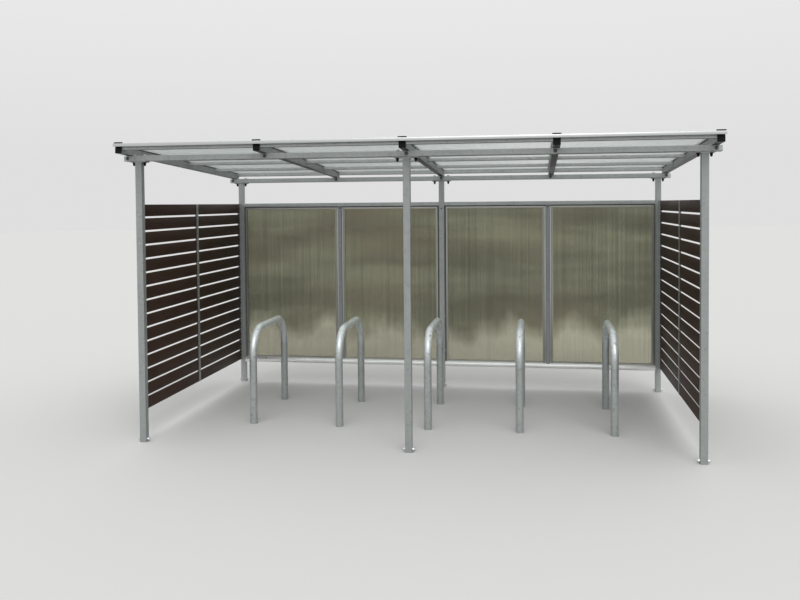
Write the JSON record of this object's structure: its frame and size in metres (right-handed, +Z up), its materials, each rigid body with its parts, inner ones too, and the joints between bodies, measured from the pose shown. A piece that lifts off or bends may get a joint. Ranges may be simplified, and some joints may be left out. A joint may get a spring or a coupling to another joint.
{
  "type": "bike shelter",
  "caption": "Open-fronted bike shelter with a gently falling clear roof on a galvanised frame, a clear back wall, slatted side walls and bent-tube bike stands.",
  "frame": {"origin": "on the ground at the middle of the roof's outline", "axes": "+X along the row of stands to the right, +Y to the back wall, +Z up; the open front faces -Y"},
  "size_m": [4.216, 2.4808, 2.2192],
  "materials": {
    "galvanised_steel": "hot-dip galvanised, satin with a faint spangle",
    "galvanised_stands": "hot-dip galvanised tube, satin",
    "bright_aluminium": "mill finish, bright",
    "frame_aluminium": "natural anodised, satin",
    "roof_sheet": "opal multiwall sheet, glossy",
    "back_sheet": "bronze-grey fluted sheet, glossy",
    "brown_board": "dark brown composite board, matt",
    "black_plastic": "black moulded caps, matt",
    "rubber_seal": "black seal, matt"
  },
  "bodies": {
    "root": {"front_post_left": "galvanised_steel", "back_post_left": "galvanised_steel", "front_post_centre": "galvanised_steel", "back_post_centre": "galvanised_steel", "front_post_right": "galvanised_steel", "back_post_right": "galvanised_steel", "post_head_plates": "galvanised_steel", "front_beam": "galvanised_steel", "back_beam": "galvanised_steel", "rafter_1": "galvanised_steel", "rafter_2": "galvanised_steel", "rafter_3": "galvanised_steel", "rafter_4": "galvanised_steel", "rafter_5": "galvanised_steel", "rafter_end_caps": "black_plastic", "purlin_row_1": "galvanised_steel", "purlin_row_2": "galvanised_steel", "purlin_row_3": "galvanised_steel", "purlin_row_4": "galvanised_steel", "purlin_row_5": "galvanised_steel", "rafter_seals": "rubber_seal", "roof_sheet_1": "roof_sheet", "roof_sheet_2": "roof_sheet", "roof_sheet_3": "roof_sheet", "roof_sheet_4": "roof_sheet", "roof_cover_bars": "bright_aluminium", "roof_bar_caps": "black_plastic", "roof_front_trim": "bright_aluminium", "roof_rear_trim": "bright_aluminium", "back_wall_sills": "galvanised_steel", "back_wall_top_rails": "galvanised_steel", "back_wall_stiles": "galvanised_steel", "back_wall_gaskets": "rubber_seal", "back_wall_frames": "frame_aluminium", "back_wall_sheets": "back_sheet", "back_wall_mullions": "frame_aluminium", "side_boards_left": "brown_board", "side_bars_left": "galvanised_steel", "side_boards_right": "brown_board", "side_bars_right": "galvanised_steel", "bike_stand_1": "galvanised_stands", "bike_stand_2": "galvanised_stands", "bike_stand_3": "galvanised_stands", "bike_stand_4": "galvanised_stands", "bike_stand_5": "galvanised_stands"}
  },
  "joints": []
}
